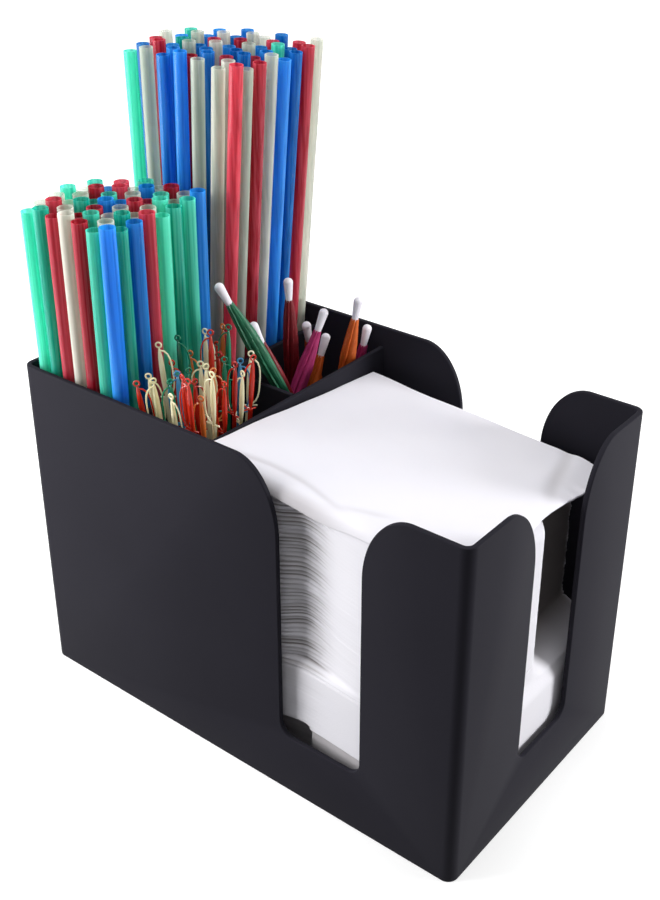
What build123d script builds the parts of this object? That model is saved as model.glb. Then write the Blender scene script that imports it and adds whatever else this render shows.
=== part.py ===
from build123d import *
import math
import os

# Bar-top condiment caddy with its stock, in millimetres.
# The origin is on the surface that the caddy stands on, under the middle of the tub.
# X runs along the long side, with the napkin bay at +X. Y runs from the front (-Y) to the back.

# Tub
LENGTH = 241.0
WIDTH = 136.0
HEIGHT = 164.0
WALL = 2.4
FLOOR = 2.4
CORNER_RADIUS = 5.0
RIM_ROUND = 0.6
FOOT_ROUND = 0.8

# Partitions, which stop below the rim
PARTITION = 2.4
PARTITION_DROP = 10.0
NAPKIN_BAY = 133.6
STRAW_BAY = 58.7

# U-shaped hand slots in the three walls round the napkin bay
SIDE_SLOT = 42.8
END_SLOT = 39.2
SLOT_SILL = 30.5
SLOT_FOOT_RADIUS = 7.0
SHOULDER_RUN = 22.0
SHOULDER_DROP = 33.0

# Clearance under and beside everything that lifts out
SEAT = 0.3

# Paper napkins, folded in quarters: two packets, and a loose one on top that follows their slope
NAPKIN_X = 127.6
NAPKIN_Y = 120.0
NAPKIN_CORNER = 3.0
NAPKIN_SIDE_GAP = 0.9
NAPKIN_FRONT_GAP = 1.6
LOWER_PACKET = 62.5
STACK_TOP = 155.0
STACK_FALL_X = 8.0
STACK_FALL_Y = 12.0
TOP_NAPKIN = 1.6

# Drinking straws, standing in rows that open like a fan. Spreads and shifts at the mouth
# of the pocket, which is level with the top of the partitions
STRAW_WALL = 0.3
STRAW_UNEVEN = 2.4
STRAW_STAGGER = 0.5
SHORT_DIAMETER = 7.0
SHORT_LENGTH = 236.0
SHORT_FOOT_GAP = 0.5
SHORT_SPREAD_X = 2.3492
SHORT_SPREAD_Y = 1.3051
TALL_DIAMETER = 6.0
TALL_LENGTH = 292.0
TALL_FOOT_GAP_X = 0.25
TALL_FOOT_GAP_Y = 1.1
TALL_SPREAD_X = 13.185
TALL_SPREAD_Y = 3.1644
TALL_FOOT_SHIFT = -6.4
TALL_MOUTH_SHIFT = -0.0712

# One letter a straw, front row first, left to right: green, blue, red, clear; a dot is an empty place
SHORT_ROWS = ["ggrcrgb", "crcrgcg", "ccgrcgb", "gcgbccr", "crgbrcg", "gbrcrgg", ".rcbgcg", "..gcrcb"]
TALL_ROWS = ["gcbbccr", "brbrbcc", "rbcbrbr", "cgbcbrc", "bcrbcbb", "gbcrbgb", ".bbcrbr", "..bcbrc"]
STRAW_COLOURS = {"g": "green", "b": "blue", "r": "red", "c": "clear"}

# Plastic sword picks: a ring, a grip, a knuckle guard, a cross guard and a blade, in one moulding
PICK_THICK = 1.5
PICK_LENGTH = 173.0
PICK_RING = 1.9
PICK_RING_HOLE = 0.9
PICK_GRIP = 23.0
PICK_GRIP_NECK = 0.9
PICK_GRIP_SWELL = 1.8
PICK_GUARD = 5.2
PICK_GUARD_BACK = 3.8
PICK_GUARD_BAND = 1.1
PICK_GUARD_BAR = 1.6
PICK_BLADE = 2.4
PICK_POINT = 0.7

# How the picks stand: points together, rings apart
PICK_FOOT_PITCH_X = 3.7
PICK_FOOT_PITCH_Y = 2.05
PICK_SPREAD_X = 19.8
PICK_SPREAD_Y = 38.0
PICK_LIFTED = 13.0
PICK_TURN = 30.0
PICK_TURN_UNEVEN = 6.0
PICK_ROWS = ["rycr", "ygro", "cbry", "rgyr", "gyor", "orgy", "yrbr", "rgy.", "o..."]
PICK_COLOURS = {"r": "red", "y": "cream", "c": "cream", "g": "green", "o": "orange", "b": "blue"}

# Closed paper parasols on wooden sticks, each with a round-ended paper tip
STICK_DIAMETER = 2.0
TIP_DIAMETER = 4.4
TIP_LENGTH = 16.0
CANOPY_LENGTH = 66.0
CANOPY_NECK = 4.0
CANOPY_WIDE = 8.2
CANOPY_WIDE_AT = 26.0
CANOPY_HEM = 4.2
CANOPY_RIBS = 8
BORE_GAP = 0.05

# Each parasol: colour, the end of its tip from the middle of the pocket's mouth, and how far it
# leans in X and Y for each mm down
PARASOLS = [
    ("green", (-9.05, -49.3, 51.1), (0.28, 0.418)),
    ("dark_red", (-8.25, -28.5, 25.7), (0.278, 0.273)),
    ("dark_red", (-4.25, -7.5, 41.6), (-0.05, 0.095)),
    ("orange", (-2.35, 2.8, 16.4), (-0.076, 0.275)),
    ("magenta", (6.15, 6.6, 24.4), (-0.151, -0.351)),
    ("orange", (1.95, 13.2, 8.2), (-0.06, -0.395)),
    ("orange", (19.75, 14.8, 31.0), (-0.154, -0.058)),
    ("magenta", (18.25, 24.1, 13.3), (-0.226, 0.0)),
]

# Worked out from the sizes above
INNER_X = LENGTH / 2 - WALL
INNER_Y = WIDTH / 2 - WALL
PARTITION_TOP = HEIGHT - PARTITION_DROP
NAPKIN_WALL_RIGHT = INNER_X - NAPKIN_BAY
NAPKIN_WALL_LEFT = NAPKIN_WALL_RIGHT - PARTITION
CROSS_LEFT = -INNER_X + STRAW_BAY
CROSS_RIGHT = CROSS_LEFT + PARTITION
BAY_MIDDLE = (INNER_X + NAPKIN_WALL_RIGHT) / 2
FRONT_ROW_MIDDLE = -(INNER_Y + PARTITION / 2) / 2
STRAW_MIDDLE = (CROSS_LEFT - INNER_X) / 2
PICK_MIDDLE = (NAPKIN_WALL_LEFT + CROSS_RIGHT) / 2
REST = FLOOR + SEAT


def uneven(count):
    """A steady run of values from -1 to 1, one for each count, with no pattern to the eye."""
    return 2 * ((count * 0.6180339887) % 1.0) - 1


def box(low, high):
    size = [b - a for a, b in zip(low, high)]
    middle = [(a + b) / 2 for a, b in zip(low, high)]
    return Pos(*middle) * Box(*size)


def standing(foot, top, turn=0.0):
    """The place of a piece that stands on its foot and points at its top, turned about itself."""
    up = (top - foot).normalized()
    side = Vector(math.cos(math.radians(turn)), math.sin(math.radians(turn)), 0)
    across = up.cross(side).normalized()
    return Plane(origin=foot, x_dir=across.cross(up), z_dir=up)


def slot_outline(width):
    """What a hand slot takes out of a wall: X runs along the wall and Y up from the table."""
    half = width / 2
    foot = SLOT_FOOT_RADIUS
    shoulder = HEIGHT - SHOULDER_DROP
    reach = half + SHOULDER_RUN
    above = HEIGHT + WALL
    lines = [
        Line((-half + foot, SLOT_SILL), (half - foot, SLOT_SILL)),
        CenterArc((half - foot, SLOT_SILL + foot), foot, -90, 90),
        Line((half, SLOT_SILL + foot), (half, shoulder)),
        EllipticalCenterArc((reach, shoulder), SHOULDER_RUN, SHOULDER_DROP, 90, arc_size=90),
        Line((reach, HEIGHT), (reach, above)),
        Line((reach, above), (-reach, above)),
        Line((-reach, above), (-reach, HEIGHT)),
        EllipticalCenterArc((-reach, shoulder), SHOULDER_RUN, SHOULDER_DROP, 0, arc_size=90),
        Line((-half, shoulder), (-half, SLOT_SILL + foot)),
        CenterArc((-half + foot, SLOT_SILL + foot), foot, 180, 90),
    ]
    return make_face(lines)


def caddy_shell():
    """The moulded tub, with a rounded foot, a softened rim and the three hand slots."""
    tub = Pos(0, 0, HEIGHT / 2) * Box(LENGTH, WIDTH, HEIGHT)
    tub = fillet(tub.edges().filter_by(Axis.Z), CORNER_RADIUS)
    tub = fillet(tub.faces().sort_by(Axis.Z)[0].edges(), FOOT_ROUND)
    hollow = box((-INNER_X, -INNER_Y, FLOOR), (INNER_X, INNER_Y, HEIGHT + WALL))
    hollow = fillet(hollow.edges().filter_by(Axis.Z), CORNER_RADIUS - WALL)
    tub = tub - hollow
    tub = fillet(tub.faces().sort_by(Axis.Z)[-1].edges(), RIM_ROUND)
    side_cut = extrude(Plane.XZ * slot_outline(SIDE_SLOT), WIDTH, both=True)
    end_plane = Plane.YZ.offset(INNER_X - CORNER_RADIUS)
    end_cut = extrude(end_plane * slot_outline(END_SLOT), LENGTH)
    return tub - Pos(BAY_MIDDLE, 0, 0) * side_cut - end_cut


def partition(low_x, high_x, low_y, high_y):
    """One upright wall that stands on the floor and stops below the rim."""
    return box((low_x, low_y, FLOOR), (high_x, high_y, PARTITION_TOP))


def above_slope(rise):
    """Everything over a plane that falls to the right and to the back, as the napkins do."""
    front_left = Vector(NAPKIN_WALL_RIGHT + NAPKIN_SIDE_GAP, -INNER_Y + NAPKIN_FRONT_GAP, STACK_TOP + rise)
    normal = Vector(STACK_FALL_X / NAPKIN_X, STACK_FALL_Y / NAPKIN_Y, 1)
    block = 4 * LENGTH
    return Plane(origin=front_left, z_dir=normal) * (Pos(0, 0, block / 2) * Box(block, block, block))


def napkin_block(low_z, high_z):
    """A pile of folded napkins with slightly rounded corners."""
    low_x = NAPKIN_WALL_RIGHT + NAPKIN_SIDE_GAP
    low_y = -INNER_Y + NAPKIN_FRONT_GAP
    pile = box((low_x, low_y, low_z), (low_x + NAPKIN_X, low_y + NAPKIN_Y, high_z))
    return fillet(pile.edges().filter_by(Axis.Z), NAPKIN_CORNER)


def napkins():
    lower = napkin_block(REST, REST + LOWER_PACKET)
    tall = napkin_block(REST + LOWER_PACKET, STACK_TOP + STACK_FALL_X + STACK_FALL_Y)
    upper = tall - above_slope(0)
    loose = (tall & above_slope(0)) - above_slope(TOP_NAPKIN)
    return {"napkin_packet_lower": lower, "napkin_packet_upper": upper, "napkin_top": loose}


def fan_place(column, row, columns, rows, middle, foot_pitch, top_pitch):
    """Foot and top of one piece of a fan, both counted from the fan's middle."""
    across = column - (columns - 1) / 2
    along = row - (rows - 1) / 2
    foot = Vector(middle[0] + across * foot_pitch[0], middle[1] + along * foot_pitch[1], 0)
    top = Vector(middle[0] + across * top_pitch[0], middle[1] + along * top_pitch[1], 0)
    return foot, top


def straw(foot, top, diameter, length):
    """One straight tube, with its lowest edge on the clearance over the floor."""
    run = math.hypot(top.X - foot.X, top.Y - foot.Y)
    tilt = math.asin(run / length)
    low = REST + diameter / 2 * math.sin(tilt)
    foot = Vector(foot.X, foot.Y, low)
    top = Vector(top.X, top.Y, low + length * math.cos(tilt))
    ring = Circle(diameter / 2) - Circle(diameter / 2 - STRAW_WALL)
    return standing(foot, top) * extrude(ring, length)


def straws(rows, middle_y, diameter, length, foot_pitch, spread, shifts):
    """A pocket of straws, sorted by colour. They pass the pocket's mouth with the given spread."""
    columns = len(rows[0])
    reach = length / PARTITION_TOP
    top_pitch = (
        foot_pitch[0] + reach * spread[0] / (columns - 1),
        foot_pitch[1] + reach * spread[1] / (len(rows) - 1),
    )
    top_shift = shifts[0] + reach * (shifts[1] - shifts[0])
    middle = (STRAW_MIDDLE, middle_y)
    sorted_by_colour = {colour: [] for colour in STRAW_COLOURS.values()}
    for row, letters in enumerate(rows):
        for column, letter in enumerate(letters):
            if letter == ".":
                continue
            foot, top = fan_place(column, row, columns, len(rows), middle, foot_pitch, top_pitch)
            stagger = STRAW_STAGGER * (-1) ** row
            foot += Vector(shifts[0] + stagger, 0, 0)
            top += Vector(top_shift + stagger, 0, 0)
            cut_length = length + STRAW_UNEVEN * uneven(column + row * columns)
            tube = straw(foot, top, diameter, cut_length)
            sorted_by_colour[STRAW_COLOURS[letter]].append(tube)
    return sorted_by_colour


def short_straws():
    pitch = SHORT_DIAMETER + SHORT_FOOT_GAP
    spread = (SHORT_SPREAD_X, SHORT_SPREAD_Y)
    return straws(SHORT_ROWS, FRONT_ROW_MIDDLE, SHORT_DIAMETER, SHORT_LENGTH, (pitch, pitch), spread, (0, 0))


def tall_straws():
    pitch = (TALL_DIAMETER + TALL_FOOT_GAP_X, TALL_DIAMETER + TALL_FOOT_GAP_Y)
    spread = (TALL_SPREAD_X, TALL_SPREAD_Y)
    shifts = (TALL_FOOT_SHIFT, TALL_MOUTH_SHIFT)
    return straws(TALL_ROWS, -FRONT_ROW_MIDDLE, TALL_DIAMETER, TALL_LENGTH, pitch, spread, shifts)


def sword_pick():
    """One pick, point down on the origin, flat in XZ, with its knuckle guard toward +X."""
    ring_middle = PICK_LENGTH - PICK_RING
    grip_top = PICK_LENGTH - 2 * PICK_RING
    grip_foot = grip_top - PICK_GRIP
    point = PICK_POINT / 2
    blade = PICK_BLADE / 2
    outline = make_face(Polyline((-point, 0), (point, 0), (blade, grip_foot), (-blade, grip_foot), close=True))
    bar_middle = (PICK_GUARD - PICK_GUARD_BACK) / 2
    outline += Pos(bar_middle, grip_foot) * SlotOverall(PICK_GUARD + PICK_GUARD_BACK, PICK_GUARD_BAR)
    bow = Ellipse(PICK_GUARD, PICK_GRIP / 2)
    bow -= Ellipse(PICK_GUARD - PICK_GUARD_BAND, PICK_GRIP / 2 - PICK_GUARD_BAND)
    bow &= Pos(PICK_GUARD, 0) * Rectangle(2 * PICK_GUARD, 2 * PICK_GRIP)
    outline += Pos(0, grip_foot + PICK_GRIP / 2) * bow
    outline += Pos(0, ring_middle) * (Circle(PICK_RING) - Circle(PICK_RING_HOLE))
    flat = extrude(Plane.XZ * outline, PICK_THICK / 2, both=True)
    grip_end = grip_top + (PICK_RING - PICK_RING_HOLE) / 2
    grip_middle = grip_foot + PICK_GRIP / 2
    grip = make_face([
        ThreePointArc((PICK_GRIP_NECK, grip_foot), (PICK_GRIP_SWELL, grip_middle), (PICK_GRIP_NECK, grip_end)),
        Line((PICK_GRIP_NECK, grip_end), (0, grip_end)),
        Line((0, grip_end), (0, grip_foot)),
        Line((0, grip_foot), (PICK_GRIP_NECK, grip_foot)),
    ])
    return flat + revolve(Plane.XZ * grip, Axis.Z)


def sword_picks():
    """The picks, sorted by colour: points together at the bottom, rings apart at the top."""
    columns = len(PICK_ROWS[0])
    rows = len(PICK_ROWS)
    foot_pitch = (PICK_FOOT_PITCH_X, PICK_FOOT_PITCH_Y)
    top_pitch = (
        foot_pitch[0] + PICK_SPREAD_X / (columns - 1),
        foot_pitch[1] + PICK_SPREAD_Y / (rows - 1),
    )
    middle = (PICK_MIDDLE, FRONT_ROW_MIDDLE)
    pick = sword_pick()
    sorted_by_colour = {colour: [] for colour in PICK_COLOURS.values()}
    for row, letters in enumerate(PICK_ROWS):
        for column, letter in enumerate(letters):
            if letter == ".":
                continue
            count = column + row * columns
            foot, top = fan_place(column, row, columns, rows, middle, foot_pitch, top_pitch)
            rise = max(0, PICK_LIFTED * uneven(count))
            foot += Vector(0, 0, REST + SEAT + rise)
            top += Vector(0, 0, REST + PICK_LENGTH + rise)
            turn = PICK_TURN + PICK_TURN_UNEVEN * uneven(2 * count + 1) + 180 * (count % 2)
            sorted_by_colour[PICK_COLOURS[letter]].append(standing(foot, top, turn) * pick)
    return sorted_by_colour


def stick_fall(tip, lean):
    """How far below its tip a leaning stick meets the floor or a wall of its pocket."""
    radius = STICK_DIAMETER / 2
    hold = radius + SEAT
    tilt = math.atan(math.hypot(*lean))
    falls = [tip.Z - REST - radius * math.sin(tilt)]
    walls_x = (CROSS_RIGHT + hold, NAPKIN_WALL_LEFT - hold)
    walls_y = (PARTITION / 2 + hold, INNER_Y - hold)
    for place, run, walls in ((tip.X, lean[0], walls_x), (tip.Y, lean[1], walls_y)):
        if run:
            falls.append((walls[run > 0] - place) / run)
    return min(falls)


def parasol(tip, lean):
    """One closed parasol: stick, pleated canopy and round-ended tip."""
    fall = stick_fall(tip, lean)
    foot = tip - Vector(-lean[0], -lean[1], 1) * fall
    length = (tip - foot).length
    place = standing(foot, tip)
    canopy_top = length - TIP_LENGTH
    canopy_foot = canopy_top - CANOPY_LENGTH
    bore = STICK_DIAMETER / 2 + BORE_GAP
    stick = extrude(Circle(STICK_DIAMETER / 2), length - TIP_LENGTH / 2)
    end = TIP_DIAMETER / 2
    tip_solid = Pos(0, 0, canopy_top) * extrude(Circle(end), TIP_LENGTH - end)
    tip_solid += Pos(0, 0, length - end) * Sphere(end)
    tip_solid -= Pos(0, 0, canopy_top) * extrude(Circle(bore), TIP_LENGTH / 2)
    sections = [
        Pos(0, 0, canopy_foot) * RegularPolygon(CANOPY_HEM / 2, CANOPY_RIBS),
        Pos(0, 0, canopy_top - CANOPY_WIDE_AT) * RegularPolygon(CANOPY_WIDE / 2, CANOPY_RIBS),
        Pos(0, 0, canopy_top) * RegularPolygon(CANOPY_NECK / 2, CANOPY_RIBS),
    ]
    canopy = loft(sections, ruled=True)
    canopy -= Pos(0, 0, canopy_foot) * extrude(Circle(bore), CANOPY_LENGTH)
    return place * stick, place * canopy, place * tip_solid


def parasols():
    """The parasols as nodes: all sticks, all tips, and the canopies sorted by colour."""
    nodes = {"parasol_sticks": [], "parasol_tips": []}
    mouth = Vector(PICK_MIDDLE, -FRONT_ROW_MIDDLE, PARTITION_TOP)
    for colour, tip, lean in PARASOLS:
        stick, canopy, tip_solid = parasol(mouth + Vector(*tip), lean)
        nodes["parasol_sticks"].append(stick)
        nodes["parasol_tips"].append(tip_solid)
        nodes.setdefault(f"parasol_canopies_{colour}", []).append(canopy)
    return nodes


def write(name, shape):
    if isinstance(shape, list):
        shape = Compound(children=shape)
    export_step(shape, f"parts/{name}.step")


os.makedirs("parts", exist_ok=True)
write("caddy_shell", caddy_shell())
write("napkin_wall", partition(NAPKIN_WALL_LEFT, NAPKIN_WALL_RIGHT, -INNER_Y, INNER_Y))
write("long_divider", partition(-INNER_X, NAPKIN_WALL_LEFT, -PARTITION / 2, PARTITION / 2))
write("cross_divider_front", partition(CROSS_LEFT, CROSS_RIGHT, -INNER_Y, -PARTITION / 2))
write("cross_divider_back", partition(CROSS_LEFT, CROSS_RIGHT, PARTITION / 2, INNER_Y))
for name, shape in napkins().items():
    write(name, shape)
for colour, tubes in short_straws().items():
    write(f"short_straws_{colour}", tubes)
for colour, tubes in tall_straws().items():
    write(f"tall_straws_{colour}", tubes)
for colour, picks in sword_picks().items():
    write(f"sword_picks_{colour}", picks)
for name, solids in parasols().items():
    write(name, solids)
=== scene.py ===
import math
import bpy
import bmesh
from mathutils import Matrix, Vector, noise


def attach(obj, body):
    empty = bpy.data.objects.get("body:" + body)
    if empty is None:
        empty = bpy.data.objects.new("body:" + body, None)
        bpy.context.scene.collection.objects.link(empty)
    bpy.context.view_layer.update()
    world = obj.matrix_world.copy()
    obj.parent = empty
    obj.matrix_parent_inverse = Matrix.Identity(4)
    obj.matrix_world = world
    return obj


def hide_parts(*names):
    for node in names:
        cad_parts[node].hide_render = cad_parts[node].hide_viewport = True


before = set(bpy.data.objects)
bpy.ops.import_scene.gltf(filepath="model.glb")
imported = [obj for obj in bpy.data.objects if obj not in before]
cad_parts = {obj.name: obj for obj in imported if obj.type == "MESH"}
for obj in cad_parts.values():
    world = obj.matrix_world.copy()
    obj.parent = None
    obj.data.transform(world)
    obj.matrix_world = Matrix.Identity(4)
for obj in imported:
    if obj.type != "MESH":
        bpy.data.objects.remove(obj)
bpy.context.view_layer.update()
scene = bpy.context.scene
scene.view_settings.view_transform = "Standard"


# ---------------------------------------------------------------------------
# Table top and studio: a pale seamless sweep, one soft box on each side of the
# camera and a large one high overhead. Nothing shines from behind the camera, so
# the rounded corner of the tub stays dark between its two lit walls.

# The camera stands where the photograph's straight edges put it.
CAMERA_PLACE = (0.312308, -0.388353, 0.417746)
CAMERA_DOWN, CAMERA_ROUND = 27.6305, 38.4945
CAMERA_LENS, CAMERA_SHIFT = 51.153, -50 / 900
TABLE_SIZE = 6
GLOW_NEAR, GLOW_FAR = 0.18, 0.80
GLOW_LEAST = 0.35
AMBIENT = 0.26
LAMP_AIM = Vector((0, 0, 0.12))
LAMPS = (
    ("left_soft_box", (-0.42, -0.40, 0.27), 0.42, 5.2),
    ("right_soft_box", (0.60, 0.37, 0.24), 0.30, 4.6),
    ("top_soft_box", (0.0, 0.0, 1.5), 0.9, 12.5),
)


def linear(code):
    """An sRGB hex colour as the linear values that a shader works in."""
    parts = [int(code[i:i + 2], 16) / 255 for i in (1, 3, 5)]
    return [p / 12.92 if p <= 0.04045 else ((p + 0.055) / 1.055) ** 2.4 for p in parts] + [1.0]


def node(tree, kind, sockets=None, **settings):
    """Adds one node, with its settings, its fixed sockets and the links into it."""
    made = tree.nodes.new(kind)
    for name, value in settings.items():
        setattr(made, name, value)
    for name, value in (sockets or {}).items():
        if isinstance(value, bpy.types.NodeSocket):
            tree.links.new(value, made.inputs[name])
        else:
            made.inputs[name].default_value = value
    return made


def new_material(name):
    """An empty material with its node tree and its output."""
    material = bpy.data.materials.new(name)
    material.use_nodes = True
    material.node_tree.nodes.clear()
    return material, material.node_tree, material.node_tree.nodes.new("ShaderNodeOutputMaterial")


def seen_directly(tree):
    """1 for rays from the camera, off gloss or through glass, 0 for those that light the object."""
    path = node(tree, "ShaderNodeLightPath")
    seen = node(tree, "ShaderNodeMath",
                {0: path.outputs["Is Camera Ray"], 1: path.outputs["Is Glossy Ray"]},
                operation="ADD")
    seen = node(tree, "ShaderNodeMath",
                {0: seen.outputs[0], 1: path.outputs["Is Transmission Ray"]},
                operation="ADD", use_clamp=True)
    return seen.outputs[0]


camera_data = bpy.data.cameras.new("photo_camera")
camera_data.lens = CAMERA_LENS
camera_data.sensor_width = 36.0
camera_data.shift_y = CAMERA_SHIFT
camera = bpy.data.objects.new("photo_camera", camera_data)
camera.location = CAMERA_PLACE
camera.rotation_euler = (math.radians(90 - CAMERA_DOWN), 0, math.radians(CAMERA_ROUND))
scene.collection.objects.link(camera)
scene.camera = camera

bpy.ops.object.select_all(action="DESELECT")
bpy.ops.mesh.primitive_plane_add(size=TABLE_SIZE, location=(0, 0, 0))
floor = bpy.context.object
floor.name = "table_top"
white_table, tree, out = new_material("white_laminate_table")
diffuse = node(tree, "ShaderNodeBsdfDiffuse", {"Color": linear("#e6e6e6")})
# The lamps fall off with distance and a real sweep doesn't, so the table brightens away
# from the caddy.
place = node(tree, "ShaderNodeTexCoord")
away = node(tree, "ShaderNodeVectorMath", {0: place.outputs["Object"]}, operation="LENGTH")
rise = node(tree, "ShaderNodeMapRange",
            {"Value": away.outputs["Value"], 1: GLOW_NEAR, 2: GLOW_FAR, 3: GLOW_LEAST, 4: 1.0})
glow = node(tree, "ShaderNodeEmission", {"Color": linear("#ffffff"), "Strength": rise.outputs[0]})
both = node(tree, "ShaderNodeAddShader", {0: diffuse.outputs[0], 1: glow.outputs[0]})
# Dark cloths just out of the picture keep the table's light off the tub's lower walls.
held_back = node(tree, "ShaderNodeBsdfDiffuse", {"Color": linear("#6a6a6a")})
mix = node(tree, "ShaderNodeMixShader",
           {0: seen_directly(tree), 1: held_back.outputs[0], 2: both.outputs[0]})
tree.links.new(mix.outputs[0], out.inputs["Surface"])
floor.data.materials.append(white_table)

world = bpy.data.worlds.new("studio_sweep")
scene.world = world
world.use_nodes = True
tree = world.node_tree
tree.nodes.clear()
ambient = node(tree, "ShaderNodeBackground", {"Color": linear("#ffffff"), "Strength": AMBIENT})
sweep = node(tree, "ShaderNodeBackground", {"Color": linear("#ffffff"), "Strength": 1.0})
mix = node(tree, "ShaderNodeMixShader",
           {0: seen_directly(tree), 1: ambient.outputs[0], 2: sweep.outputs[0]})
node(tree, "ShaderNodeOutputWorld", {"Surface": mix.outputs[0]})

for name, place, size, power in LAMPS:
    lamp = bpy.data.lights.new(name, "AREA")
    lamp.shape = "RECTANGLE"
    lamp.size = lamp.size_y = size
    lamp.energy = power
    holder = bpy.data.objects.new(name, lamp)
    holder.location = place
    holder.rotation_euler = (LAMP_AIM - Vector(place)).to_track_quat("-Z", "Y").to_euler()
    scene.collection.objects.link(holder)


# ---------------------------------------------------------------------------
# The tub: one injection moulding in charcoal ABS with a fine spark-eroded
# texture, open at the top, with a U-shaped hand slot in three walls. Every edge
# of the rim and of the slots has the small round that the tool gives it.

LENGTH, WIDTH, HEIGHT, WALL = 0.241, 0.136, 0.164, 0.0024
CORNER = 0.005
SIDE_SLOT, END_SLOT, SILL, SLOT_FOOT = 0.0428, 0.0392, 0.0305, 0.007
SHOULDER_RUN, SHOULDER_DROP = 0.022, 0.033
BAY_MIDDLE = 0.0513
EDGE_ROUND = 0.0005
# What is cut away stands this far above the rim, and reaches this far through the end wall.
ABOVE_RIM, END_CUT = 0.02, 0.04
# Points closer than this are slivers that the cuts leave, and they are merged.
SLIVER = 0.0003


def fresh(name):
    """Names the primitive just added and puts its place into its mesh."""
    made = bpy.context.object
    made.name = name
    bpy.ops.object.transform_apply(location=True, rotation=True, scale=True)
    return made


def only(made):
    """Makes one object the whole selection."""
    bpy.ops.object.select_all(action="DESELECT")
    made.select_set(True)
    bpy.context.view_layer.objects.active = made


def pick_faces(made, wanted):
    """In edit mode, selects the faces that a test accepts and nothing else."""
    bpy.ops.mesh.select_mode(type="FACE")
    bpy.ops.mesh.select_all(action="DESELECT")
    shape = bmesh.from_edit_mesh(made.data)
    for face in shape.faces:
        face.select_set(bool(wanted(face)))
    bmesh.update_edit_mesh(made.data)


def pick_edges(made, wanted):
    """In edit mode, selects the edges that a test accepts and nothing else."""
    bpy.ops.mesh.select_mode(type="EDGE")
    bpy.ops.mesh.select_all(action="DESELECT")
    shape = bmesh.from_edit_mesh(made.data)
    for edge in shape.edges:
        edge.select_set(bool(wanted(edge)))
    bmesh.update_edit_mesh(made.data)


def along(edge, axis):
    """True where an edge runs along one axis."""
    step = (edge.verts[1].co - edge.verts[0].co).normalized()
    return abs(step[axis]) > 0.999


def finish_with(made, kind, **settings):
    """Adds a modifier with its settings and applies it."""
    only(made)
    modifier = made.modifiers.new(kind.lower(), kind)
    for name, value in settings.items():
        setattr(modifier, name, value)
    bpy.ops.object.modifier_apply(modifier=modifier.name)


def slot_cutter(name, width, deep, middle):
    """The waste of one hand slot: a tall U with a flared mouth, cutting along Y."""
    bpy.ops.object.select_all(action="DESELECT")
    tall = HEIGHT + ABOVE_RIM - SILL
    bpy.ops.mesh.primitive_cube_add(size=1, location=(0, middle, SILL + tall / 2),
                                    scale=(width, deep, tall))
    waste = fresh(name)
    bpy.ops.object.mode_set(mode="EDIT")
    pick_edges(waste, lambda e: along(e, 1) and e.verts[0].co.z < SILL + 0.001)
    bpy.ops.mesh.bevel(offset=SLOT_FOOT, segments=12, affect="EDGES")
    bpy.ops.object.mode_set(mode="OBJECT")
    low = HEIGHT - SHOULDER_DROP
    high = HEIGHT + ABOVE_RIM / 2
    reach = width / 2 + SHOULDER_RUN
    bpy.ops.object.select_all(action="DESELECT")
    bpy.ops.mesh.primitive_cube_add(size=1, location=(0, middle, (low + high) / 2),
                                    scale=(2 * reach, deep, high - low))
    flare = fresh("slot_flare")
    for side in (-1, 1):
        bpy.ops.object.select_all(action="DESELECT")
        bpy.ops.mesh.primitive_cylinder_add(vertices=128, radius=1, depth=deep * 1.2,
                                            location=(side * reach, middle, low),
                                            rotation=(math.pi / 2, 0, 0),
                                            scale=(SHOULDER_RUN, SHOULDER_DROP, 1))
        shoulder = fresh("slot_shoulder")
        finish_with(flare, "BOOLEAN", operation="DIFFERENCE", object=shoulder, solver="EXACT")
        bpy.data.objects.remove(shoulder)
    finish_with(waste, "BOOLEAN", operation="UNION", object=flare, solver="EXACT")
    bpy.data.objects.remove(flare)
    return waste


bpy.ops.object.select_all(action="DESELECT")
bpy.ops.mesh.primitive_cube_add(size=1, location=(0, 0, HEIGHT / 2), scale=(LENGTH, WIDTH, HEIGHT))
tub = fresh("tub_moulding")
bpy.ops.object.mode_set(mode="EDIT")
pick_edges(tub, lambda e: along(e, 2))
bpy.ops.mesh.bevel(offset=CORNER, segments=10, affect="EDGES")
pick_faces(tub, lambda f: f.normal.z > 0.9)
bpy.ops.mesh.inset(thickness=WALL)
bpy.ops.mesh.extrude_region_move(TRANSFORM_OT_translate={"value": (0, 0, WALL - HEIGHT)})
bpy.ops.object.mode_set(mode="OBJECT")

side_waste = slot_cutter("side_slot_waste", SIDE_SLOT, 2 * WIDTH, 0)
side_waste.data.transform(Matrix.Translation((BAY_MIDDLE, 0, 0)))
end_waste = slot_cutter("end_slot_waste", END_SLOT, END_CUT, -LENGTH / 2)
end_waste.data.transform(Matrix.Rotation(math.pi / 2, 4, "Z"))
for waste in (side_waste, end_waste):
    finish_with(tub, "BOOLEAN", operation="DIFFERENCE", object=waste, solver="EXACT")
    bpy.data.objects.remove(waste)
bpy.ops.object.mode_set(mode="EDIT")
bpy.ops.mesh.select_all(action="SELECT")
bpy.ops.mesh.remove_doubles(threshold=SLIVER)
bpy.ops.object.mode_set(mode="OBJECT")
finish_with(tub, "BEVEL", width=EDGE_ROUND, segments=3, limit_method="ANGLE",
            angle_limit=math.radians(50))
only(tub)
bpy.ops.object.shade_smooth_by_angle(angle=math.radians(35))


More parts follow.
